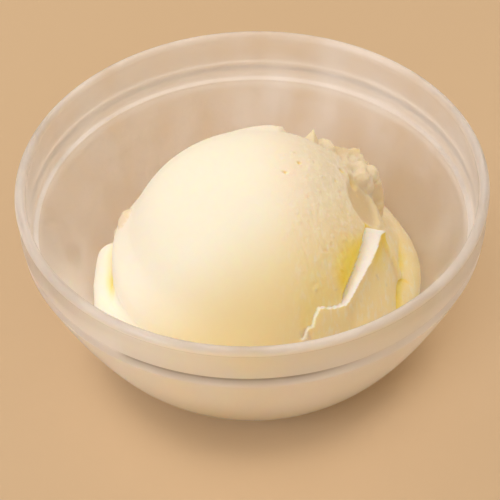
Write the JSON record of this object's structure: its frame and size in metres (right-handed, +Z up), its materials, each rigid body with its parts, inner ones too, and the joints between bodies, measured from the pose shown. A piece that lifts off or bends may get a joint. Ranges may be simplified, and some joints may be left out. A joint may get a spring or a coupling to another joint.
{
  "type": "ice cream cup",
  "caption": "Small frosted glass dessert bowl with a rounded lip and stacking groove, holding a large scoop of vanilla ice cream.",
  "frame": {"origin": "middle of the bowl's foot, on the surface it stands on", "axes": "+Z up out of the bowl; -Y is the side that is looked at; +X is on its right"},
  "size_m": [0.105, 0.105, 0.0496],
  "materials": {
    "frosted_glass": "satin",
    "vanilla_ice_cream": "matte"
  },
  "bodies": {
    "root": {"glass_bowl": "frosted_glass", "ice_cream_scoop": "vanilla_ice_cream"}
  },
  "joints": []
}
